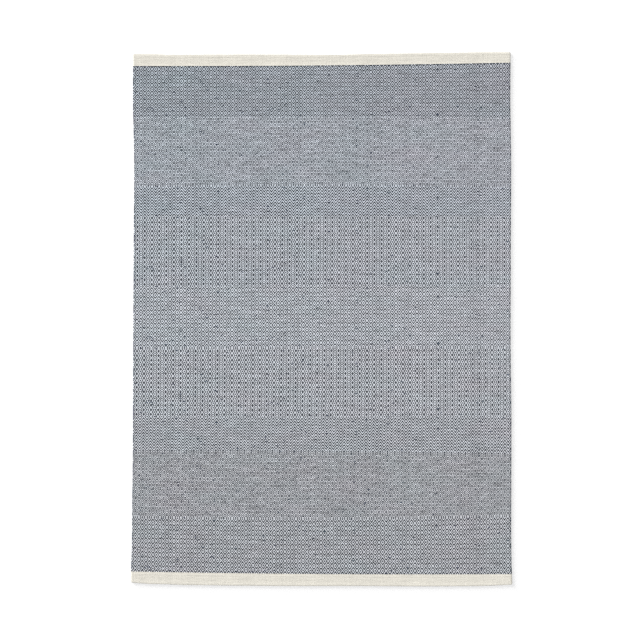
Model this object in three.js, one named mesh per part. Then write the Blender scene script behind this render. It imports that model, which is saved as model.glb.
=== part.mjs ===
import * as THREE from 'three';

// A flat-woven kilim rug, as it lies on a floor.
// Millimetres, +Z up. +X runs across the rug from selvedge to selvedge, and +Y runs along its warp.
// Z 0 is the underside, and the middle of the rug is over the origin.
// The patterned field, the plain cream end bands and both selvedges are one piece of cloth.

// Driving dimensions
const WIDTH = 1700;
const LENGTH = 2400;
const THICKNESS = 5;

// The selvedges and the ends are rounded: the faces draw in by this much above and below
const EDGE_ROUND = 1.8;
const EDGE_ROUND_STEPS = 2;

// The corners of the cloth are hardly blunt
const CORNER_RADIUS = 5;
const CORNER_STEPS = 3;

// The longest straight step along an edge
const EDGE_STEP = 80;

// Handwoven edges stray from their straight lines.
// along is measured from the middle of the edge, towards +Y or +X, and out is outwards from the line.
const LEFT_EDGE = [
  { along: -1200, out: 12 },
  { along: -1130, out: 11 },
  { along: -990, out: 7 },
  { along: -470, out: 3 },
  { along: -60, out: 1.5 },
  { along: 270, out: 0 },
  { along: 680, out: -3 },
  { along: 1010, out: 3 },
  { along: 1200, out: 2 },
];
const RIGHT_EDGE = [
  { along: -1200, out: 4 },
  { along: -1130, out: 1 },
  { along: -990, out: -1 },
  { along: -470, out: 0 },
  { along: -60, out: -4 },
  { along: 270, out: -3 },
  { along: 680, out: -1 },
  { along: 1010, out: -5 },
  { along: 1200, out: -4 },
];
const FAR_END = [
  { along: -850, out: 1 },
  { along: -780, out: 1 },
  { along: -670, out: -2 },
  { along: -370, out: -0.5 },
  { along: 40, out: -2 },
  { along: 310, out: 3 },
  { along: 550, out: 6.5 },
  { along: 760, out: 9.5 },
  { along: 820, out: 11 },
  { along: 850, out: 9 },
];
const NEAR_END = [
  { along: -850, out: -22 },
  { along: -825, out: -16 },
  { along: -740, out: -15 },
  { along: -600, out: -10.5 },
  { along: -370, out: -8 },
  { along: -120, out: -6 },
  { along: 150, out: -6.5 },
  { along: 440, out: -4.5 },
  { along: 680, out: -5.5 },
  { along: 800, out: -9 },
  { along: 850, out: -12 },
];

// How far an edge strays at one place: an even blend from each row of its table to the next
function strayAt(edge, along) {
  const last = edge.length - 1;
  const place = THREE.MathUtils.clamp(along, edge[0].along, edge[last].along);
  const next = Math.max(1, edge.findIndex((row) => row.along >= place));
  const from = edge[next - 1];
  const to = edge[next];
  const blend = THREE.MathUtils.smoothstep(place, from.along, to.along);
  return THREE.MathUtils.lerp(from.out, to.out, blend);
}

// Moves a point of the straight-edged cloth to where the four edges draw it
function strayed(point) {
  const across = point.x / WIDTH + 0.5;
  const up = point.y / LENGTH + 0.5;
  const left = -strayAt(LEFT_EDGE, point.y);
  const right = strayAt(RIGHT_EDGE, point.y);
  const near = -strayAt(NEAR_END, point.x);
  const far = strayAt(FAR_END, point.x);
  return new THREE.Vector2(
    point.x + THREE.MathUtils.lerp(left, right, across),
    point.y + THREE.MathUtils.lerp(near, far, up),
  );
}

// The straight-edged cloth seen from above: four blunt corners, and even steps between them
function straightOutline() {
  const x = WIDTH / 2 - CORNER_RADIUS;
  const y = LENGTH / 2 - CORNER_RADIUS;
  const corners = [
    { x: x, y: y, turn: 0 },
    { x: -x, y: y, turn: Math.PI / 2 },
    { x: -x, y: -y, turn: Math.PI },
    { x: x, y: -y, turn: (3 * Math.PI) / 2 },
  ];
  const arcs = corners.map((corner) => {
    const arc = new THREE.Path();
    arc.absarc(corner.x, corner.y, CORNER_RADIUS, corner.turn, corner.turn + Math.PI / 2, false);
    return arc.getPoints(CORNER_STEPS);
  });
  return arcs.flatMap((arc, index) => {
    const start = arc[arc.length - 1];
    const end = arcs[(index + 1) % arcs.length][0];
    const steps = Math.ceil(start.distanceTo(end) / EDGE_STEP);
    const run = [];
    for (let step = 1; step < steps; step += 1) {
      run.push(start.clone().lerp(end, step / steps));
    }
    return [...arc, ...run];
  });
}

// The cloth: its outline at full thickness, with the edges rounded off above and below
function makeCloth() {
  const shape = new THREE.Shape(straightOutline().map(strayed));
  const geometry = new THREE.ExtrudeGeometry(shape, {
    depth: THICKNESS - 2 * EDGE_ROUND,
    steps: 1,
    bevelEnabled: true,
    bevelThickness: EDGE_ROUND,
    bevelSize: EDGE_ROUND,
    bevelOffset: -EDGE_ROUND,
    bevelSegments: EDGE_ROUND_STEPS,
  });
  geometry.computeBoundingBox();
  const middle = geometry.boundingBox.getCenter(new THREE.Vector3());
  geometry.translate(-middle.x, -middle.y, -geometry.boundingBox.min.z);
  return geometry;
}

// Cream warp and slate-blue weft in even shares, seen from a step away
const wool = new THREE.MeshStandardMaterial({
  color: 0x9b9fa6,
  roughness: 0.95,
  metalness: 0,
});

const cloth = new THREE.Mesh(makeCloth(), wool);
cloth.name = 'cloth';

const rug = new THREE.Group();
rug.name = 'kilim_rug';
rug.add(cloth);

export default rug;
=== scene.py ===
# %% [markdown]
# # A flat-woven kilim rug
#
# A kilim is one flat cloth without pile. Strong warp ends run along its length, and weft picks cross them
# from selvedge to selvedge. Here the warp is cream and the weft is slate blue, so wherever a pick goes under
# an end a light spot shows, and wherever it goes over one a dark spot shows. The order of those spots is the
# draft, and this rug has four of them in nine bands: diamonds, dots, chevrons and columns. A plain cream
# band closes each end.
#
# A picture of the pattern would fall apart in a close view, so this lesson weaves instead: the surface has a
# row of points for each pick, and the shader reads the same drafts as the shape does.

import math
from collections import namedtuple

import bpy
import numpy as np
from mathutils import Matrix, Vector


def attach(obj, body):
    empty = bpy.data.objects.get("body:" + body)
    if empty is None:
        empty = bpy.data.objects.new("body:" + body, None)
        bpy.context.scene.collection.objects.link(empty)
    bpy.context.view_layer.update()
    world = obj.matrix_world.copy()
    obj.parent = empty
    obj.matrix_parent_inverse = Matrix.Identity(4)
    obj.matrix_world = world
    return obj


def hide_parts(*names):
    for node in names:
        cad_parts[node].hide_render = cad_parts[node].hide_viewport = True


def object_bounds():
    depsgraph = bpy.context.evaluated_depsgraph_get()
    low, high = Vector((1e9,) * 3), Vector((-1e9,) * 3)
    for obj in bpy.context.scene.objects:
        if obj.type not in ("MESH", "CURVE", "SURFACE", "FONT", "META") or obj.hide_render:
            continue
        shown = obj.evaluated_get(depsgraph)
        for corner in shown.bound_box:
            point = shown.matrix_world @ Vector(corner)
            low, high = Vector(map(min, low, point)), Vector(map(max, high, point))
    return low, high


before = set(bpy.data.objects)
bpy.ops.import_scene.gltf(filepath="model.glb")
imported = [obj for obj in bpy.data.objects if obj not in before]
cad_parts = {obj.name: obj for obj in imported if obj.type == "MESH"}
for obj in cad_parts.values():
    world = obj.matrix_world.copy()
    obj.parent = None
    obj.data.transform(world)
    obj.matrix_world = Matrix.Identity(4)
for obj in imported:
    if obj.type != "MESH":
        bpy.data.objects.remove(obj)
cad_low, cad_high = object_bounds()
print("The rug in the frame, in metres:", tuple(round(size, 4) for size in cad_high - cad_low))

# %% [markdown]
# ## The camera first
#
# The photograph looks straight down from far away, so nothing narrows with distance. A long lens from high up
# gives that, and a perspective camera also serves the views from the side. The height follows from the lens
# and from the width of floor that the picture shows.

# %% Camera
PICTURE_PIXELS = 640
METRES_PER_PIXEL = 0.0045
LENS_MM = 100
SENSOR_MM = 36
# The middle of the rug in the picture, in pixels right of and below the picture's own middle
RUG_PIXELS_RIGHT = 1.61
RUG_PIXELS_DOWN = -0.82


def make_camera():
    """A camera straight above. Its height is the width of floor in view times the lens over the sensor."""
    data = bpy.data.cameras.new("camera")
    data.lens = LENS_MM
    data.sensor_width = SENSOR_MM
    camera = bpy.data.objects.new("camera", data)
    width_in_view = PICTURE_PIXELS * METRES_PER_PIXEL
    camera.location = (
        -RUG_PIXELS_RIGHT * METRES_PER_PIXEL,
        RUG_PIXELS_DOWN * METRES_PER_PIXEL,
        cad_high.z + width_in_view * LENS_MM / SENSOR_MM,
    )
    bpy.context.scene.collection.objects.link(camera)
    bpy.context.scene.camera = camera
    return camera


camera = make_camera()
print("The camera hangs", round(camera.location.z, 2), "m above the floor")

# %% [markdown]
# ## The outline
#
# Handwoven edges are never quite straight. The solid of the rug already has them, so its rim is read back as
# four lines: how far out the left and right selvedges lie at each height, and the two ends at each width. The
# blunt corners come along, because they are part of the same rim.

# %% The four edges, read from the solid's rim
RIM_BAND = 0.2  # share of the thickness, each side of mid height, that counts as the rim
EDGE_REACH = 0.05  # a rim point belongs to an edge when it lies this near that side of the box
SAME_DIGITS = 6  # points that agree to a micrometre are one point


def rim_points():
    """The points of the solid near mid height, as rows of x and y, each once."""
    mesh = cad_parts["cloth"].data
    places = np.empty(len(mesh.vertices) * 3)
    mesh.vertices.foreach_get("co", places)
    places = places.reshape(-1, 3)
    height = places[:, 2].max()
    near_middle = np.abs(places[:, 2] - height / 2) < RIM_BAND * height
    return np.unique(places[near_middle, :2].round(SAME_DIGITS), axis=0)


def edge_line(points, along, side):
    """One edge as a function: straight between the rim points within reach of that side of the box.

    along is the axis that the edge runs on, and side is -1 or 1 on the other axis.
    """
    out = points[:, 1 - along] * side
    edge = points[out > out.max() - EDGE_REACH]
    edge = edge[np.argsort(edge[:, along])]
    return lambda place: np.interp(place, edge[:, along], edge[:, 1 - along])


rim = rim_points()
left_edge = edge_line(rim, along=1, side=-1)
right_edge = edge_line(rim, along=1, side=1)
far_end = edge_line(rim, along=0, side=1)
near_end = edge_line(rim, along=0, side=-1)
middle_width = float(right_edge(0) - left_edge(0))
print(len(rim), "rim points; the rug is", round(middle_width, 4), "m wide in the middle")

# %% [markdown]
# ## Where the threads lie
#
# On a loom the ends are spaced by a reed, but a finished rug draws in unevenly. So a short table says where
# a few of the 749 ends lie at three heights of the rug, and the others are spread evenly between them. The
# lines between the bands bow and slope a little too, as beating in by hand makes them. Each line is the
# parabola through its heights at the left, in the middle and at the right.

# %% Ends and band lines
MM = 0.001
ENDS = 749
END_PITCH = (cad_high.x - cad_low.x) / ENDS
# The strays of the edges put the middle of the box here, seen from the middle of the loom
BOX_MIDDLE = (-0.0040, 0.0070)

# Millimetres to the right of the loom's middle, at the three heights below
EndPlace = namedtuple("EndPlace", "end far lower near")
END_PLACES = [
    EndPlace(7, -832, -836, -842),
    EndPlace(63, -702, -706, -716),
    EndPlace(119, -566, -572, -588),
    EndPlace(189, -404, -408, -422),
    EndPlace(259, -246, -251, -266),
    EndPlace(343, -48, -57, -71),
    EndPlace(427, 137, 135, 122),
    EndPlace(511, 331, 330, 320),
    EndPlace(595, 518, 523, 513),
    EndPlace(665, 669, 678, 671),
    EndPlace(735, 818, 822, 819),
]
FAR_HEIGHT = 0.39
LOWER_HEIGHT = -0.35
NEAR_HEIGHT = -0.88

# Millimetres above the loom's middle, at 0.72 m left, in the middle and 0.72 m right
LINE_REACH = 0.72
BandLine = namedtuple("BandLine", "left middle right")
BAND_LINES = [
    BandLine(1146, 1149, 1159),
    BandLine(916, 918, 914),
    BandLine(605, 610, 604),
    BandLine(474, 474, 473),
    BandLine(156, 160, 160),
    BandLine(-125, -123, -121),
    BandLine(-430, -432, -429),
    BandLine(-586, -590, -600),
    BandLine(-883, -888, -878),
    BandLine(-1131, -1140, -1141),
]


def band_line(line):
    """A line between two bands as a function of x: middle + slope * s + bow * s * s, with s = x / reach."""
    slope = (line.right - line.left) / 2
    bow = (line.right + line.left) / 2 - line.middle

    def height(x):
        s = (x + BOX_MIDDLE[0]) / LINE_REACH
        return (line.middle + slope * s + bow * s * s) * MM - BOX_MIDDLE[1]

    return height


def end_x(thread, y):
    """x of a place counted in ends from the left selvedge, at height y.

    Three rows of the table, each straight between its ends, blend from one height to the next. Outside the
    first and last ends of the table, the place moves evenly over to the selvedge.
    """
    middles = [place.end + 0.5 for place in END_PLACES]
    far, lower, near = (
        np.interp(thread, middles, [row * MM for row in column]) - BOX_MIDDLE[0]
        for column in list(zip(*END_PLACES))[1:]
    )
    to_lower = np.clip((FAR_HEIGHT - y) / (FAR_HEIGHT - LOWER_HEIGHT), 0, 1)
    to_near = np.clip((LOWER_HEIGHT - y) / (LOWER_HEIGHT - NEAR_HEIGHT), 0, 1)
    x = far + (lower - far) * to_lower + (near - lower) * to_near
    to_left = np.clip(1 - thread / middles[0], 0, 1)
    to_right = np.clip((thread - middles[-1]) / (ENDS - middles[-1]), 0, 1)
    return x + (left_edge(y) - x) * to_left + (right_edge(y) - x) * to_right


lines = [far_end] + [band_line(line) for line in BAND_LINES] + [near_end]
print("Ends are", round(END_PITCH / MM, 2), "mm apart on average")

# %% [markdown]
# ## The drafts
#
# A weaver writes a pattern as a threading, which shaft each end is on, and a treadling, which shafts each
# pick lifts. Here four shafts are threaded to a point, 0 1 2 3 0 1 2 3 and back 2 1 0 3 2 1, so every repeat
# of 14 ends mirrors itself. Each treadle lifts two neighbouring shafts. Treadled to a point as well, that
# gives diamonds, and a short point packs them into columns. Treadled straight on it gives chevrons, and out
# of order small dots. One threading serves the whole rug: only the treadling changes from band to band, and
# the plain ends lift every other shaft.
#
# A chart holds only the eight columns from one turning point to the next, because the other six mirror them.
# A 1 is an end on top of the pick.

# %% Charts from threadings
POINT = 7  # ends from one turning point of the threading to the next
SHAFTS = 4
LIFTED_SHAFTS = 2  # that one treadle lifts, side by side


def twill_chart(treadles):
    """A chart of 0 and 1: end x, on shaft x mod 4, is up on treadle t where (x - t) mod 4 is 0 or 1."""
    shaft = np.arange(POINT + 1) % SHAFTS
    treadle = np.array(treadles)[:, None]
    return ((shaft - treadle) % SHAFTS < LIFTED_SHAFTS).astype(int)


PLAIN_ROWS = ["10101010", "01010101"]


def drawn_chart(rows):
    """A chart from rows of 0 and 1."""
    return np.array([[int(mark) for mark in row] for row in rows])


# mirrored says whether the treadling turns back at the last row, or starts again
Draft = namedtuple("Draft", "chart mirrored")
DRAFTS = {
    "diamonds": Draft(twill_chart(range(7)), True),
    "columns": Draft(twill_chart(range(4)), True),
    "chevrons": Draft(twill_chart(range(4)), False),
    "dots": Draft(twill_chart((1, 3, 0, 1, 2, 3, 1)), True),
    "plain": Draft(drawn_chart(PLAIN_ROWS), False),
}


def there_and_back(count, turn):
    """Counts 0, 1 and so on up to turn, and back down to 0, over and over."""
    place = count % (2 * turn)
    return np.minimum(place, 2 * turn - place)


def warp_is_up(draft, end, pick):
    """The chart at whole ends and picks, as arrays of 0 and 1. End 7 and every 14th after it is a point."""
    last = len(draft.chart) - 1
    row = there_and_back(pick, last) if draft.mirrored else pick % (last + 1)
    return draft.chart[row, there_and_back(end + POINT, POINT)]


for name, draft in DRAFTS.items():
    print(name, "shows warp on", round(100 * draft.chart.mean()), "% of its chart")

# %% [markdown]
# ## The bands
#
# From the far end to the near one. first is the row of the draft that the band's first pick weaves, and tone
# makes its wool a little lighter or darker, as one dye lot differs from the next. cool is the share of red
# that the lot's warp lacks, and the share of blue that it has too much. opening counts the band's first
# picks that float over most of the ends, as a dashed dark line.

# %% The table of bands
Band = namedtuple("Band", "name draft picks first tone cool opening")
BANDS = [
    Band("far_end_band", "plain", 20, 0, 1.0, 0.0, 0),
    Band("far_diamonds", "diamonds", 76, 8, 0.8, 0.04, 1),
    Band("far_dots", "dots", 134, 2, 1.07, 0.025, 0),
    Band("far_chevrons", "chevrons", 40, 0, 0.93, 0.04, 0),
    Band("far_columns", "columns", 96, 0, 0.94, 0.022, 0),
    Band("middle_diamonds", "diamonds", 86, 0, 0.98, 0.015, 0),
    Band("near_columns", "columns", 90, 0, 0.945, 0.01, 0),
    Band("near_chevrons", "chevrons", 48, 0, 0.93, 0.01, 0),
    Band("near_dots", "dots", 122, 3, 1.0, -0.01, 0),
    Band("near_diamonds", "diamonds", 72, 5, 0.87, 0.0, 0),
    Band("near_end_band", "plain", 22, 0, 1.0, 0.0, 0),
]
print(sum(band.picks for band in BANDS), "picks in", len(BANDS), "bands")

# %% [markdown]
# ## One band as a surface
#
# The cut through the rug along a pick is a closed loop: over the top from the left selvedge to the right
# one, round the edge, and back underneath. That loop is the profile, and it is carried down the band from
# pick to pick. Over the top it has one point for each two ends, so the cloth's relief follows the draft:
# where the warp lies on top it stands a little proud. The underside lies flat on the floor and needs few
# points. The selvedges bulge in and out where the weft turns, and the two ends of the rug are rounded off.

# %% The profile across the cloth
ENDS_PER_POINT = 2
TOP_STEP = 11  # one point underneath for each eleven on top
TURN_ANGLES = (40, 0, -40)  # degrees round the selvedge, from above to below
TURN_RADIUS = 0.0022
TURN_BULGE = 0.0004  # a pick's turn stands out by this much, and the next one sinks in by as much
RELIEF = 0.0004  # from a weft float up to a warp float
UNEVEN = 0.00025  # slow ups and downs of the cloth's face
# Metres in x and in y, and a phase
UNEVEN_WAVES = ((0.31, 0.23, 0.4), (0.17, -0.29, 1.9), (-0.12, 0.14, 3.1))
RIM_SHARE = 0.4  # height of the rug's two ends at their very rim, next to the full thickness
RIM_REACH = 0.003  # how far in from an end its rounding goes

turn = np.radians(TURN_ANGLES)
turn_inset = TURN_RADIUS * (1 - np.cos(turn))
turn_height = cad_high.z / 2 * (1 + np.sin(turn))
top_ends = np.concatenate([[0.5], np.arange(ENDS_PER_POINT, ENDS, ENDS_PER_POINT)])
under_ends = top_ends[::-TOP_STEP]
TOP, TURN, UNDER = len(top_ends), len(turn), len(under_ends)

# Places round the loop, counted in ends from the left selvedge, and what each point is part of
loop_end = np.concatenate(
    [top_ends, ENDS - turn_inset / END_PITCH, under_ends, turn_inset[::-1] / END_PITCH]
)
AROUND = len(loop_end)
on_top = np.arange(AROUND) < TOP
on_right_turn = (np.arange(AROUND) >= TOP) & (np.arange(AROUND) < TOP + TURN)
on_left_turn = np.arange(AROUND) >= TOP + TURN + UNDER
print(AROUND, "points round the cloth")


# %% Places of a band's points
PLACE_ROUNDS = 3  # x depends on y and y on x, so both are worked out in turns
NEAR_LINE = 0.2  # an extra row this many picks inside each band line


def pick_rows(picks):
    """Rows down a band, in picks: both band lines, one just inside each, and the middle of each pick."""
    middles = np.arange(picks) + 0.5
    return np.concatenate([[0, NEAR_LINE], middles, [picks - NEAR_LINE, picks]])


def unevenness(x, y):
    """Slow ups and downs: the mean of a few waves, sin(2 pi (x / a + y / b) + phase)."""
    waves = [np.sin(2 * np.pi * (x / a + y / b) + phase) for a, b, phase in UNEVEN_WAVES]
    return UNEVEN * sum(waves) / len(waves)


def rounding(inside):
    """Share of the full height this far inside an end: a quarter circle from the rim share up to 1."""
    flat = 1 - np.clip(inside / RIM_REACH, 0, 1)
    return RIM_SHARE + (1 - RIM_SHARE) * np.sqrt(1 - flat**2)


def band_points(band, far_line, near_line):
    """The points of one band: an array of rows down the band, points round the loop, and x, y and z.

    Down the band, y goes evenly from the far line to the near one. On top, z is the thickness, plus or minus
    half the relief of the two ends at each point, plus the unevenness, and less near the rug's two ends.
    """
    row_pick = pick_rows(band.picks)[:, None]
    down = row_pick / band.picks
    x = np.interp(loop_end, (0, ENDS), (cad_low.x, cad_high.x)) + 0 * down
    for _ in range(PLACE_ROUNDS):
        y = far_line(x) * (1 - down) + near_line(x) * down
        x = end_x(loop_end + 0 * down, y)

    inner = (row_pick > 0) & (row_pick < band.picks)
    bulge = TURN_BULGE * np.where(np.floor(row_pick) % 2 == 0, 1, -1) * inner
    x = x + bulge * on_right_turn - bulge * on_left_turn

    whole_pick = np.clip(np.floor(row_pick), 0, band.picks - 1).astype(int) + band.first
    end_before = np.clip(np.floor(loop_end - 0.5), 0, ENDS - 1).astype(int)
    end_after = np.clip(np.floor(loop_end + 0.5), 0, ENDS - 1).astype(int)
    draft = DRAFTS[band.draft]
    warp_up = (warp_is_up(draft, end_before, whole_pick) + warp_is_up(draft, end_after, whole_pick)) / 2
    z_top = cad_high.z + RELIEF * np.where(inner, warp_up - 0.5, 0) + unevenness(x, y)
    z = np.where(on_top, z_top, 0.0)
    z[:, on_right_turn] = turn_height
    z[:, on_left_turn] = turn_height[::-1]
    z = z * rounding(far_end(x) - y) * rounding(y - near_end(x))
    return np.stack([x, y, z], axis=-1)


# %% [markdown]
# ## From points to a mesh
#
# The loop and the rows make a tube of quads. A lid closes it at each band line, where it meets the next
# band: a row of narrow faces, each eleven steps of the top wide, and a small one at each selvedge. The edges
# of the lids are marked sharp, so that the shading of the cloth runs on without a dark line.
#
# Two maps go on the faces. threads counts ends and picks, and the shader weaves from it. OFBake lays the
# same faces out inside a square for anyone who bakes the material into an image: the top in two strips, one
# above the other, so that the threads get enough pixels, the underside in a third, and the lids in two thin
# ones.

# %% Faces of a band
def tube_faces(rows):
    """Corners of the quads of a tube, row by row, with their outsides facing out."""
    row, step = np.meshgrid(np.arange(rows - 1), np.arange(AROUND), indexing="ij")
    after = (step + 1) % AROUND
    quads = np.stack([row, row + 1, row + 1, row], -1) * AROUND + np.stack([step, step, after, after], -1)
    return quads.reshape(-1, 4)


def lid_faces():
    """Corners of the far lid on the loop: wide faces, from left to right, and those of the two selvedges."""
    span = np.arange(UNDER - 1)[:, None]
    above = span * TOP_STEP + np.arange(TOP_STEP + 1)
    underneath = TOP + TURN + UNDER - 1 - np.hstack([span + 1, span])
    right_side = TOP - 1 + np.arange(TURN + 2)
    left_side = (TOP + TURN + UNDER - 1 + np.arange(TURN + 2)) % AROUND
    return np.hstack([above, underneath]), np.stack([right_side, left_side])


# %% Places for baking
STRIP_POINTS = TOP // 2
BAKE_MARGIN = 0.01
# Two strips for the top, one for the underside and one for each lid, from the bottom of the square up
STRIP_HEIGHTS = np.array([1.0, 1.0, 0.6, 0.02, 0.02])
STRIP_BOTTOMS = np.cumsum(STRIP_HEIGHTS) - STRIP_HEIGHTS
LID_STRIPS = ((3, 1), (4, -1))  # a strip for each lid, and the way that its corners go round
SIDE_STEP = 3  # width of a step round the selvedge, in ends


def tube_places(rows):
    """OFBake places of the quads' corners: along a strip u is the way round the loop, and v goes down it."""
    step = np.arange(AROUND + 1)
    lengths = np.abs(np.diff(loop_end, append=loop_end[0]))
    lengths[~on_top] = np.maximum(lengths[~on_top], SIDE_STEP)
    lengths[TOP - 1] = SIDE_STEP
    passed = np.concatenate([[0], np.cumsum(lengths)])
    strip = np.where(step[:-1] >= TOP - 1, 2, np.where(step[:-1] >= STRIP_POINTS, 1, 0))
    starts = passed[[0, STRIP_POINTS, TOP - 1]]
    widths = passed[[STRIP_POINTS, TOP - 1, AROUND]] - starts
    across = np.stack([step[:-1], step[:-1], step[1:], step[1:]], -1)
    u = (passed[across] - starts[strip][:, None]) / widths[strip][:, None]
    row = np.arange(rows)
    down = np.stack([row[:-1], row[1:], row[1:], row[:-1]], -1) / (rows - 1)
    v = STRIP_BOTTOMS[strip][None, :, None] + STRIP_HEIGHTS[strip][None, :, None] * down[:, None, :]
    return np.stack([np.broadcast_to(u[None], v.shape), v], -1).reshape(-1, 2)


def lid_places():
    """OFBake places of one lid: each face has a cell of its own in a row, as (u, v) of its corners."""
    cells = UNDER + 1
    wide_u = np.concatenate([np.arange(TOP_STEP + 1) / TOP_STEP, [1, 0]])
    wide_v = np.concatenate([np.ones(TOP_STEP + 1), [0, 0]])
    wide_u = np.arange(UNDER - 1)[:, None] + wide_u
    wide = np.stack([wide_u, np.broadcast_to(wide_v, wide_u.shape)], -1)
    side_turn = np.radians(np.linspace(90, -90, TURN + 2))
    side_u = np.array([UNDER - 1, UNDER])[:, None] + np.cos(side_turn)
    side_v = np.broadcast_to(0.5 + 0.5 * np.sin(side_turn), side_u.shape)
    return wide / (cells, 1), np.stack([side_u, side_v], -1) / (cells, 1)


def bake_places(rows):
    """OFBake places of all corners, in the order of the faces, inside a square with a margin."""
    places = [tube_places(rows)]
    for strip, way in LID_STRIPS:
        for lid in lid_places():
            lid = lid[:, ::way] * (1, STRIP_HEIGHTS[strip]) + (0, STRIP_BOTTOMS[strip])
            places.append(lid.reshape(-1, 2))
    places = np.concatenate(places) / (1, STRIP_HEIGHTS.sum())
    return BAKE_MARGIN + (1 - 2 * BAKE_MARGIN) * places


# %% Mesh of a band
def make_band(band, far_line, near_line):
    """One band of the cloth as a mesh object, with both maps and the sharp rims of its lids."""
    points = band_points(band, far_line, near_line)
    rows = len(points)
    quads = tube_faces(rows)
    lids = list(lid_faces())
    lids += [(rows - 1) * AROUND + faces[:, ::-1] for faces in lids]
    corners = np.concatenate([quads.ravel()] + [faces.ravel() for faces in lids])
    sizes = np.concatenate([np.full(len(faces), faces.shape[1]) for faces in [quads] + lids])
    starts = np.cumsum(sizes) - sizes

    mesh = bpy.data.meshes.new(band.name)
    mesh.vertices.add(rows * AROUND)
    mesh.vertices.foreach_set("co", points.ravel().astype(np.float32))
    mesh.loops.add(len(corners))
    mesh.loops.foreach_set("vertex_index", corners.astype(np.int32))
    mesh.polygons.add(len(starts))
    mesh.polygons.foreach_set("loop_start", starts.astype(np.int32))
    mesh.update(calc_edges=True)

    mesh.polygons.foreach_set("use_smooth", np.arange(len(starts)) < len(quads))
    edges = np.empty(len(mesh.edges) * 2, np.int32)
    mesh.edges.foreach_get("vertices", edges)
    edge_rows = edges.reshape(-1, 2) // AROUND
    sharp = (edge_rows[:, 0] == edge_rows[:, 1]) & np.isin(edge_rows[:, 0], (0, rows - 1))
    mesh.attributes.new("sharp_edge", "BOOLEAN", "EDGE").data.foreach_set("value", sharp)

    row_pick = pick_rows(band.picks) + band.first
    threads = np.stack(np.broadcast_arrays(loop_end[None, :], row_pick[:, None]), -1).reshape(-1, 2)
    thread_map = mesh.uv_layers.new(name="threads")
    thread_map.data.foreach_set("uv", threads[corners].ravel().astype(np.float32))
    bake_map = mesh.uv_layers.new(name="OFBake")
    bake_map.data.foreach_set("uv", bake_places(rows).ravel().astype(np.float32))
    mesh.uv_layers.active = thread_map
    thread_map.active_render = True

    piece = bpy.data.objects.new(band.name, mesh)
    bpy.context.scene.collection.objects.link(piece)
    return piece


def triangle_count(piece):
    """A face of n corners is n - 2 triangles, so all of them are the corners less twice the faces."""
    return len(piece.data.loops) - 2 * len(piece.data.polygons)


pieces = [make_band(band, lines[i], lines[i + 1]) for i, band in enumerate(BANDS)]
triangles = [triangle_count(piece) for piece in pieces]
print("Triangles of each band:", triangles, "and", sum(triangles), "in all")

# %% [markdown]
# ## Wool
#
# The finish works the same cloth out once more, but between the threads. From the threads map it knows the
# end and the pick at each point, and how far off their middles the point is. The draft says which of the two
# is on top. That yarn is round across its own direction, and it dips at the end of a float, where its
# neighbour covers it. So each crossing looks up four places in the draft: its own, the next one along the
# warp, and the ones to its left and right.

# %% Helpers that add nodes
def plug(tree, socket, value):
    """Links another node's output into a socket, or sets a plain value on it."""
    if isinstance(value, bpy.types.NodeSocket):
        tree.links.new(value, socket)
    else:
        socket.default_value = value


def maths(tree, operation, *values):
    """The output of one Math node."""
    node = tree.nodes.new("ShaderNodeMath")
    node.operation = operation
    for socket, value in zip(node.inputs, values):
        plug(tree, socket, value)
    return node.outputs[0]


def blend(tree, share, a, b):
    """a where share is 0 and b where it is 1, for numbers."""
    node = tree.nodes.new("ShaderNodeMix")
    plug(tree, node.inputs[0], share)
    plug(tree, node.inputs[2], a)
    plug(tree, node.inputs[3], b)
    return node.outputs[0]


def blend_colours(tree, share, a, b, how="MIX"):
    """a where share is 0 and b where it is 1, for colours; how names another way to lay b on a."""
    node = tree.nodes.new("ShaderNodeMix")
    node.data_type = "RGBA"
    node.blend_type = how
    plug(tree, node.inputs[0], share)
    plug(tree, node.inputs[6], a)
    plug(tree, node.inputs[7], b)
    return node.outputs[2]


def chance(tree, x, y=0.0):
    """A number from 0 to 1 for each pair of numbers, with no likeness between neighbours."""
    place = tree.nodes.new("ShaderNodeCombineXYZ")
    plug(tree, place.inputs[0], x)
    plug(tree, place.inputs[1], y)
    node = tree.nodes.new("ShaderNodeTexWhiteNoise")
    node.noise_dimensions = "2D"
    tree.links.new(place.outputs[0], node.inputs["Vector"])
    return node.outputs["Value"]


def drift(tree, x, y, waves, detail=2.0):
    """A number near 0.5 that changes slowly. waves is how often, for each unit of x and of y."""
    place = tree.nodes.new("ShaderNodeCombineXYZ")
    plug(tree, place.inputs[0], maths(tree, "MULTIPLY", x, waves[0]))
    plug(tree, place.inputs[1], maths(tree, "MULTIPLY", y, waves[1]))
    node = tree.nodes.new("ShaderNodeTexNoise")
    node.noise_dimensions = "2D"
    tree.links.new(place.outputs[0], node.inputs["Vector"])
    node.inputs["Scale"].default_value = 1.0
    node.inputs["Detail"].default_value = detail
    return node.outputs["Fac"]


# %% [markdown]
# ### A draft that a shader can read
#
# A shader has no table to look a chart up in, but a Color Ramp with constant steps is one: each row of the
# chart becomes one number, whose binary digits are the row's marks. The digit for a column is found by
# halving the number that many times and asking whether what is left is odd.

# %% A node group for each draft
ROW_CODES = 2 ** (POINT + 1)
NUDGE = 0.01  # a whole number that comes out a hair too small isn't rounded down to the one before


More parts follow.
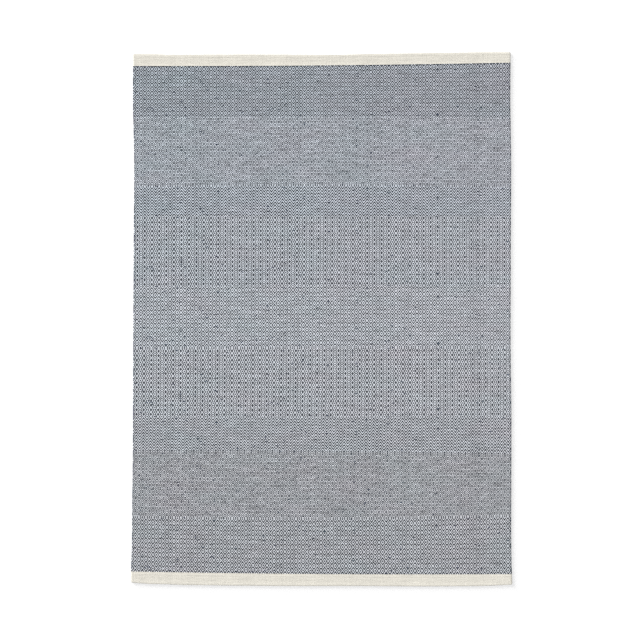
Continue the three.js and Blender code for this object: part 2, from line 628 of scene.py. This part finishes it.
def draft_group(name, draft):
    """A node group from whole end and pick numbers to 0 or 1: is the warp up?"""
    group = bpy.data.node_groups.new("draft_" + name, "ShaderNodeTree")
    for label, way in (("End", "INPUT"), ("Pick", "INPUT"), ("Warp up", "OUTPUT")):
        group.interface.new_socket(label, in_out=way, socket_type="NodeSocketFloat")
    asked = group.nodes.new("NodeGroupInput")
    answer = group.nodes.new("NodeGroupOutput")

    rows = len(draft.chart)
    column = maths(group, "PINGPONG", maths(group, "ADD", asked.outputs["End"], POINT), POINT)
    if draft.mirrored:
        row = maths(group, "PINGPONG", asked.outputs["Pick"], rows - 1)
    else:
        row = maths(group, "MODULO", asked.outputs["Pick"], rows)
    ramp = group.nodes.new("ShaderNodeValToRGB")
    steps = ramp.color_ramp
    steps.interpolation = "CONSTANT"
    steps.elements.remove(steps.elements[1])
    codes = draft.chart @ 2 ** np.arange(POINT + 1) / ROW_CODES
    for index, code in enumerate(codes):
        step = steps.elements[0] if index == 0 else steps.elements.new(index / rows)
        step.position = index / rows
        step.color = (code, code, code, 1)
    plug(group, ramp.inputs[0], maths(group, "DIVIDE", maths(group, "ADD", row, 0.5), rows))
    parts = group.nodes.new("ShaderNodeSeparateColor")
    group.links.new(ramp.outputs[0], parts.inputs[0])
    code = maths(group, "MULTIPLY", parts.outputs[0], ROW_CODES)
    halved = maths(group, "DIVIDE", code, maths(group, "POWER", 2.0, column))
    digit = maths(group, "MODULO", maths(group, "FLOOR", maths(group, "ADD", halved, NUDGE)), 2.0)
    plug(group, answer.inputs[0], digit)
    return group


draft_groups = {name: draft_group(name, draft) for name, draft in DRAFTS.items()}
print("Drafts for the shader:", sorted(draft_groups))

# %% [markdown]
# ### The yarns
#
# Seen from close by, the cloth is round yarns with grooves between them. The root of a half cosine gives the
# round, and the fine ridges of the ply slant across it. The same height paints shade into the grooves and
# drives a bump, because the mesh has only one point for each two ends and can't round them one by one.

# %% Height and ply of a yarn
FLOAT_DIP = 0.75  # how far a yarn sinks at the end of its float, next to its whole height
DIP_POWER = 2.5  # a higher power keeps the dip nearer to the float's end
TWIST_TURNS = 1.6  # turns of the ply for each crossing


def float_shape(tree, off_across, off_along, neighbour_is_other):
    """How high a yarn stands, 0 to 1: the root of a half cosine across it, with a dip at a float's end."""
    arch = maths(tree, "COSINE", maths(tree, "MULTIPLY", off_across, math.pi))
    arch = maths(tree, "SQRT", maths(tree, "MAXIMUM", arch, 0.0))
    run = maths(tree, "MULTIPLY", maths(tree, "ABSOLUTE", off_along), 2.0)
    run = maths(tree, "POWER", run, DIP_POWER)
    dip = maths(tree, "MULTIPLY", maths(tree, "MULTIPLY", run, neighbour_is_other), FLOAT_DIP)
    return maths(tree, "MULTIPLY", arch, maths(tree, "SUBTRACT", 1.0, dip))


def ply(tree, off_across, along):
    """Fine slanting ridges of the twisted yarn, 0 to 1: a sine of the place along plus the place across."""
    slant = maths(tree, "ADD", maths(tree, "MULTIPLY", along, TWIST_TURNS), off_across)
    wave = maths(tree, "SINE", maths(tree, "MULTIPLY", slant, 2 * math.pi))
    return maths(tree, "MULTIPLY_ADD", wave, 0.5, 0.5)


# %% Where a point is on the cloth
UNDERSIDE = 0.0012  # metres above the floor; whatever lies lower shows the reverse of the weave
Spot = namedtuple("Spot", "u v end pick off_end off_pick x y below")


def cloth_spot(tree):
    """Where a point is: u and v in threads, its whole end and pick, how far off their middles, x and y."""
    threads = tree.nodes.new("ShaderNodeUVMap")
    threads.uv_map = "threads"
    split = tree.nodes.new("ShaderNodeSeparateXYZ")
    tree.links.new(threads.outputs[0], split.inputs[0])
    u, v = split.outputs[0], split.outputs[1]
    end = maths(tree, "FLOOR", u)
    pick = maths(tree, "FLOOR", v)
    off_end = maths(tree, "SUBTRACT", maths(tree, "SUBTRACT", u, end), 0.5)
    off_pick = maths(tree, "SUBTRACT", maths(tree, "SUBTRACT", v, pick), 0.5)
    place = tree.nodes.new("ShaderNodeTexCoord")
    space = tree.nodes.new("ShaderNodeSeparateXYZ")
    tree.links.new(place.outputs["Object"], space.inputs[0])
    x, y, z = space.outputs[:3]
    return Spot(u, v, end, pick, off_end, off_pick, x, y, maths(tree, "LESS_THAN", z, UNDERSIDE))


# %% Which yarn is on top there
Ups = namedtuple("Ups", "here along_warp to_left to_right")


def lifted(tree, band, spot, end, pick):
    """The draft at one crossing, 1 where the warp is up. The underside shows its reverse."""
    node = tree.nodes.new("ShaderNodeGroup")
    node.node_tree = draft_groups[band.draft]
    plug(tree, node.inputs[0], end)
    plug(tree, node.inputs[1], pick)
    return maths(tree, "ABSOLUTE", maths(tree, "SUBTRACT", node.outputs[0], spot.below))


def warp_ups(tree, band, spot):
    """The draft at the point's own crossing, at the nearer one along the warp, and to the left and right."""
    next_pick = maths(tree, "ADD", spot.pick, maths(tree, "SIGN", spot.off_pick))
    left_end = maths(tree, "SUBTRACT", spot.end, 1.0)
    right_end = maths(tree, "ADD", spot.end, 1.0)
    return Ups(
        lifted(tree, band, spot, spot.end, spot.pick),
        lifted(tree, band, spot, spot.end, next_pick),
        lifted(tree, band, spot, left_end, spot.pick),
        lifted(tree, band, spot, right_end, spot.pick),
    )


# %% [markdown]
# ### Where dark weft hides the warp
#
# Short thick slubs of weft cover the warp here and there, and down both selvedges the turns of the weft show
# as dark spots. A band can also open with a pick that floats over most of its ends, as a dashed dark line.
# Each is drawn by chance from the thread numbers, so it follows the cloth and is the same in every render.

# %% Slubs, turns and opening picks
SLUB_ENDS = 4.5  # length of a slub
SLUB_SHARE = 0.006  # share of the cloth that slubs cover
SLUB_SHIFT = 40.0  # each pick's slubs are moved along by chance, by up to this many ends
EDGE_ENDS = 1.8  # width of a selvedge
EDGE_PICKS = 2.6  # height of one turn of the weft
TURN_SHARE = 0.4  # share of the selvedge where the weft's turns show
DASHES = 0.4  # dashes of an opening pick for each end
OPENING_SHARE = 0.6  # share of the width that an opening pick covers
# One number for each use of chance, so that no two of them draw alike
SHIFT_DRAW = 3.0
DASH_DRAW = 29.0


def covered_by_weft(tree, band, spot):
    """1 where a slub, a turn at the selvedge or an opening pick lies over the warp, and 0 elsewhere."""
    shift = maths(tree, "MULTIPLY", chance(tree, spot.pick, SHIFT_DRAW), SLUB_SHIFT)
    slub_place = maths(tree, "FLOOR", maths(tree, "DIVIDE", maths(tree, "ADD", spot.u, shift), SLUB_ENDS))
    slub = maths(tree, "GREATER_THAN", chance(tree, slub_place, spot.pick), 1 - SLUB_SHARE)

    from_edge = maths(tree, "MINIMUM", spot.u, maths(tree, "SUBTRACT", ENDS, spot.u))
    at_edge = maths(tree, "LESS_THAN", from_edge, EDGE_ENDS)
    turn_place = maths(tree, "FLOOR", maths(tree, "DIVIDE", spot.v, EDGE_PICKS))
    right_half = maths(tree, "GREATER_THAN", spot.u, ENDS / 2)
    turned = maths(tree, "GREATER_THAN", chance(tree, turn_place, right_half), 1 - TURN_SHARE)
    turned = maths(tree, "MULTIPLY", turned, at_edge)

    opening = maths(tree, "LESS_THAN", spot.v, float(band.first + band.opening))
    dash = chance(tree, maths(tree, "FLOOR", maths(tree, "MULTIPLY", spot.u, DASHES)), DASH_DRAW)
    opening = maths(tree, "MULTIPLY", opening, maths(tree, "LESS_THAN", dash, OPENING_SHARE))
    return maths(tree, "MAXIMUM", maths(tree, "MAXIMUM", slub, turned), opening)


# %% [markdown]
# ### Light and shade painted from the weave
#
# Where three ends lie side by side on top the colour is painted lighter, as if they spread and caught the
# light, and where a lone end lies between floats of weft it is painted darker, as if in their shade. Handspun
# yarn is thick and thin as well, so each crossing, each streak along the weft and each slow patch is made
# lighter or darker by chance. One number of a wool sets the painted light and shade, and uneven the chance.

# %% Light and shade painted from the weave
# Bounds of the painted light and shade: the least for a lone end, and the most for the whole
PAINTED_LIGHT_MOST = 2.4
PAINTED_LIGHT_LEAST = 0.25
STREAKS = 2.6  # how strong the streaks are, next to the chance of each crossing
STREAK_WAVES = (0.03, 7.7)  # for each end, along the weft, and for each pick
MOTTLE_WAVES = (0.08, 0.12)  # for each end and each pick


def painted_weave_light_and_tone(tree, wool, spot, ups, streak):
    """Painted light and shade times a chance tone: 1 + s * (ends up, of three, / 3 - 1 / 2), with s the
    wool's painted float light, times 1 + uneven * (streak + chance + mottle).

    The painted light is no less than its least share, and the whole is no more than its most, both set above.
    """
    ends_up = maths(tree, "ADD", ups.here, maths(tree, "ADD", ups.to_left, ups.to_right))
    # Painted light and shade: ends lying together on top are made lighter, lone ones darker
    painted_light_and_tone = maths(tree, "MULTIPLY_ADD", ends_up, wool.spread / 3, 1 - wool.spread / 2)
    painted_light_and_tone = maths(tree, "MAXIMUM", painted_light_and_tone, PAINTED_LIGHT_LEAST)
    uneven = maths(tree, "MULTIPLY_ADD", streak, STREAKS, -0.5 * STREAKS)
    uneven = maths(tree, "ADD", uneven, maths(tree, "SUBTRACT", chance(tree, spot.end, spot.pick), 0.5))
    mottle = drift(tree, spot.u, spot.v, MOTTLE_WAVES)
    uneven = maths(tree, "ADD", uneven, maths(tree, "SUBTRACT", mottle, 0.5))
    painted_light_and_tone = maths(tree, "MULTIPLY", painted_light_and_tone, maths(tree, "MULTIPLY_ADD", uneven, wool.uneven, 1.0))
    return maths(tree, "MINIMUM", painted_light_and_tone, PAINTED_LIGHT_MOST)


# %% [markdown]
# ### Dye
#
# Each end and each pick has a tone of its own, and the weft's dye drifts along its length in streaks. Slow
# patches of the weft lean to teal or to violet. The cream warp leans to teal or to rose with the same
# patches, and a little more to teal on the upper left of the rug and to rose on the upper right.

# %% Colours of the wool
CREAM = (0.627, 0.601, 0.537, 1)
CREAM_FILL = (0.603, 0.58, 0.513, 1)
FIELD_WARP = (0.398, 0.409, 0.428, 1)
SLATE = (0.022, 0.034, 0.06, 1)
TEAL = (0.025, 0.06, 0.07, 1)
VIOLET = (0.045, 0.038, 0.075, 1)
TEAL_TINT = (0.965, 1.008, 1.01, 1)
ROSE_TINT = (1.03, 0.988, 0.99, 1)
PATCH_WAVES = (4.0, 9.0)  # for each metre across the rug and along it
SIDE_LEAN = 0.18  # for each metre across and each metre up from where the lean starts
SIDE_START = 1.2  # metres below the middle of the rug, which is its near end
WARP_DARKEST = 0.93
WARP_RANGE = 0.14  # from the darkest end to the lightest
WARP_DRAW = 11.0
WEFT_DARKEST = 0.5
WEFT_RANGE = 0.3
WEFT_STREAK = 0.7  # what a streak of dye adds to it
WEFT_DRAW = 17.0


def toned(tree, colour, tone):
    """A colour times a number."""
    grey = tree.nodes.new("ShaderNodeCombineColor")
    for socket in grey.inputs[:3]:
        plug(tree, socket, tone)
    return blend_colours(tree, 1.0, colour, grey.outputs[0], how="MULTIPLY")


def weft_colour(tree, wool, spot, streak, lean):
    """The weft's dye, moved to teal or violet by the patches, times the tone of the pick and its streaks."""
    lean_off = maths(tree, "MULTIPLY_ADD", lean, 2 * wool.patches, -wool.patches)
    to_teal = maths(tree, "MAXIMUM", lean_off, 0.0)
    to_violet = maths(tree, "MAXIMUM", maths(tree, "MULTIPLY", lean_off, -1.0), 0.0)
    dyed = blend_colours(tree, to_teal, wool.weft, TEAL)
    dyed = blend_colours(tree, to_violet, dyed, VIOLET)
    tone = maths(tree, "MULTIPLY_ADD", chance(tree, spot.pick, WEFT_DRAW), WEFT_RANGE, WEFT_DARKEST)
    return toned(tree, dyed, maths(tree, "ADD", tone, maths(tree, "MULTIPLY", streak, WEFT_STREAK)))


def warp_colour(tree, band, wool, spot, lean):
    """The warp of the band's dye lot, tinted by the patches and the side of the rug, times the end's tone."""
    across = maths(tree, "MULTIPLY", maths(tree, "ADD", spot.y, SIDE_START), spot.x)
    to_blue = maths(tree, "ADD", maths(tree, "MULTIPLY", across, -SIDE_LEAN), lean)
    tint = blend_colours(tree, to_blue, ROSE_TINT, TEAL_TINT)
    red, green, blue, _ = wool.warp
    cooled = (red * (1 - band.cool), green, blue * (1 + band.cool), 1)
    tinted = blend_colours(tree, wool.patches, cooled, tint, how="MULTIPLY")
    tone = maths(tree, "MULTIPLY_ADD", chance(tree, spot.end, WARP_DRAW), WARP_RANGE, WARP_DARKEST)
    return toned(tree, tinted, tone)


# %% [markdown]
# ### The finish of a band
#
# There are three wools: the cream one of the plain ends, the field's, and the same in the bands of small
# dots, with less painted light and shade from the weave and more chance tone from the uneven yarn. patches is
# how far the hue strays, groove shade how bright the painted shade at the bottom of a groove is next to the
# top of a yarn, and yarn the height of the yarns above the grooves, in metres.

# %% The wools and their finish
# Two numbers of a wool paint light into its colour: how bright the shaded bottom of a groove is, and how much
# lighter ends lying together are painted than lone ones.
Wool = namedtuple("Wool", "warp weft patches groove yarn spread uneven")
CREAM_WOOL = Wool(CREAM, CREAM_FILL, patches=0.0, groove=0.82, yarn=0.0003, spread=0.0, uneven=0.0)
FIELD_WOOL = Wool(FIELD_WARP, SLATE, patches=1.0, groove=0.65, yarn=0.0006, spread=3.4, uneven=0.35)
DOT_WOOL = FIELD_WOOL._replace(spread=2.5, uneven=0.5)
WOOLS = {"plain": CREAM_WOOL, "dots": DOT_WOOL}
# Painted light: the ridges of the ply are made lighter in colour than the furrows beside them
RIDGE_LIGHT = 0.12  # how much lighter a ridge of the ply is than the furrow beside it
RIDGE_RELIEF = 0.12  # height of the ridges next to the yarn's
FUZZ_RELIEF = 0.2
FUZZ_WAVES = (6.0, 6.0)  # for each end and each pick
FUZZ_DETAIL = 3.0
LEAST_ROUGH = 0.8
ROUGH_RANGE = 0.2
SPECULAR = 0.2
SHEEN = 0.1
SHEEN_ROUGH = 0.6


def weave_finish(band, wool):
    """The finish of one band: its wool, woven to its draft and made lighter or darker by its tone."""
    material = bpy.data.materials.new(band.name + "_wool")
    material.use_nodes = True
    tree = material.node_tree
    tree.nodes.clear()
    spot = cloth_spot(tree)
    ups = warp_ups(tree, band, spot)
    covered = covered_by_weft(tree, band, spot)
    warp_shows = maths(tree, "MULTIPLY", ups.here, maths(tree, "SUBTRACT", 1.0, covered))

    # The shape of the yarn on top
    along_weft = blend(tree, maths(tree, "GREATER_THAN", spot.off_end, 0.0), ups.to_left, ups.to_right)
    weft_beyond = maths(tree, "SUBTRACT", 1.0, ups.along_warp)
    warp_height = float_shape(tree, spot.off_end, spot.off_pick, weft_beyond)
    weft_height = float_shape(tree, spot.off_pick, spot.off_end, along_weft)
    height = blend(tree, warp_shows, weft_height, warp_height)
    ridges = blend(tree, warp_shows, ply(tree, spot.off_pick, spot.u), ply(tree, spot.off_end, spot.v))

    # Its colour, times the painted light and shade of the weave, the grooves and the ply, and the yarn's
    # chance tone
    streak = drift(tree, spot.u, spot.pick, STREAK_WAVES)
    lean = drift(tree, spot.x, spot.y, PATCH_WAVES)
    weft = weft_colour(tree, wool, spot, streak, lean)
    warp = warp_colour(tree, band, wool, spot, lean)
    colour = blend_colours(tree, warp_shows, weft, warp)
    # Painted shade: the colour is made darker down in the grooves between the yarns
    painted_groove_shade = maths(tree, "MULTIPLY_ADD", height, 1 - wool.groove, wool.groove)
    painted_light_and_tone = maths(tree, "MULTIPLY", painted_groove_shade, painted_weave_light_and_tone(tree, wool, spot, ups, streak))
    # Painted light on the ply's ridges, times the band's dye-lot tone
    painted_ridge_light_and_tone = maths(tree, "MULTIPLY_ADD", ridges, RIDGE_LIGHT * band.tone, (1 - RIDGE_LIGHT / 2) * band.tone)
    colour = toned(tree, colour, maths(tree, "MULTIPLY", painted_light_and_tone, painted_ridge_light_and_tone))

    # The bump rounds the yarns, and loose fibres make them rough
    fuzz = drift(tree, spot.u, spot.v, FUZZ_WAVES, FUZZ_DETAIL)
    relief = maths(tree, "ADD", height, maths(tree, "MULTIPLY", ridges, RIDGE_RELIEF))
    relief = maths(tree, "ADD", relief, maths(tree, "MULTIPLY", fuzz, FUZZ_RELIEF))
    bump = tree.nodes.new("ShaderNodeBump")
    bump.inputs["Strength"].default_value = 1.0
    bump.inputs["Distance"].default_value = wool.yarn
    plug(tree, bump.inputs["Height"], relief)

    shader = tree.nodes.new("ShaderNodeBsdfPrincipled")
    plug(tree, shader.inputs["Base Color"], colour)
    plug(tree, shader.inputs["Roughness"], maths(tree, "MULTIPLY_ADD", fuzz, ROUGH_RANGE, LEAST_ROUGH))
    plug(tree, shader.inputs["Normal"], bump.outputs[0])
    shader.inputs["Specular IOR Level"].default_value = SPECULAR
    shader.inputs["Sheen Weight"].default_value = SHEEN
    shader.inputs["Sheen Roughness"].default_value = SHEEN_ROUGH
    output = tree.nodes.new("ShaderNodeOutputMaterial")
    tree.links.new(shader.outputs[0], output.inputs[0])
    return material


# %% Finish each band
for piece, band in zip(pieces, BANDS):
    piece.data.materials.append(weave_finish(band, WOOLS.get(band.draft, FIELD_WOOL)))
print(len(bpy.data.materials), "materials")

# %% [markdown]
# ## Attaching the bands
#
# The bands are one cloth. They ride on the rug's only body and stand in for its plain solid, which is hidden.


for index, piece in enumerate(pieces):
    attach(piece, "root")
    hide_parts("cloth")

# %% [markdown]
# ## Floor and light
#
# A studio picture of a pale floor is lit until the floor is all but white, and evenly, so the lights here
# are as far away as the sun. Most of the light comes from above, some from all round, and the rest from low
# on the upper left, which gives the thin cloth its faint shadow to the right and below.

# %% Floor
FLOOR_SIZE = 40.0
FLOOR_SHADE = 0.74
FLOOR_DROP = 0.0002


def make_floor():
    """A plain pale floor: a flat square just under the plane z = 0."""
    side = np.array((-0.5, 0.5)) * FLOOR_SIZE
    x, y = np.meshgrid(side, side)
    points = np.stack([x.ravel(), y.ravel(), np.full(4, -FLOOR_DROP)], -1)
    mesh = bpy.data.meshes.new("floor")
    mesh.from_pydata(points.tolist(), [], [(0, 1, 3, 2)])
    floor = bpy.data.objects.new("floor", mesh)
    bpy.context.scene.collection.objects.link(floor)
    material = bpy.data.materials.new("pale_floor")
    material.use_nodes = True
    shader = material.node_tree.nodes["Principled BSDF"]
    shader.inputs["Base Color"].default_value = (FLOOR_SHADE, FLOOR_SHADE, FLOOR_SHADE, 1)
    shader.inputs["Roughness"].default_value = 1.0
    shader.inputs["Specular IOR Level"].default_value = 0.0
    mesh.materials.append(material)
    return floor


floor = make_floor()

# %% Light
FLOOR_LEVEL = 1.02  # brightness of the open floor, a touch over white
SKY_SHARE = 0.2
ABOVE_SHARE = 0.61
LOW_SHARE = 0.19

# Directions are degrees clockwise from the far end and up from the floor, and widths are degrees across
Lamp = namedtuple("Lamp", "name share direction up width")
LAMPS = [
    Lamp("above", ABOVE_SHARE, -45, 75, 50),
    Lamp("low", LOW_SHARE, -45, 11, 16),
]


def make_lamp(lamp):
    """A sun. Its strength is its share of the floor's light, times pi, over the sine of its height."""
    data = bpy.data.lights.new(lamp.name, "SUN")
    data.angle = math.radians(lamp.width)
    light_on_floor = FLOOR_LEVEL / FLOOR_SHADE * lamp.share
    data.energy = light_on_floor * math.pi / math.sin(math.radians(lamp.up))
    sun = bpy.data.objects.new(lamp.name, data)
    sun.rotation_euler = (math.radians(90 - lamp.up), 0, math.radians(180 - lamp.direction))
    bpy.context.scene.collection.objects.link(sun)
    return sun


world = bpy.data.worlds.new("studio")
bpy.context.scene.world = world
world.use_nodes = True
sky = world.node_tree.nodes["Background"]
sky.inputs["Color"].default_value = (1, 1, 1, 1)
sky.inputs["Strength"].default_value = FLOOR_LEVEL / FLOOR_SHADE * SKY_SHARE
for lamp in LAMPS:
    make_lamp(lamp)
print("Lit by a pale sky and", len(LAMPS), "suns")

# %% [markdown]
# ## How the picture is taken
#
# A thread is about half a pixel wide here. Denoising would smear the weave into grey, so it is off, and the
# pixel filter is a little narrower than usual, about as sharp as the photograph.

# %% Picture
PIXEL_FILTER = 1.4
bpy.context.scene.view_settings.view_transform = "Standard"
bpy.context.scene.cycles.use_denoising = False
bpy.context.scene.cycles.filter_width = PIXEL_FILTER
print("The pixel filter is", PIXEL_FILTER, "pixels wide")

# %% [markdown]
# ## Bringing the scene up to date
#
# The view layer is updated at the end.

# %% Update the scene
bpy.context.view_layer.update()
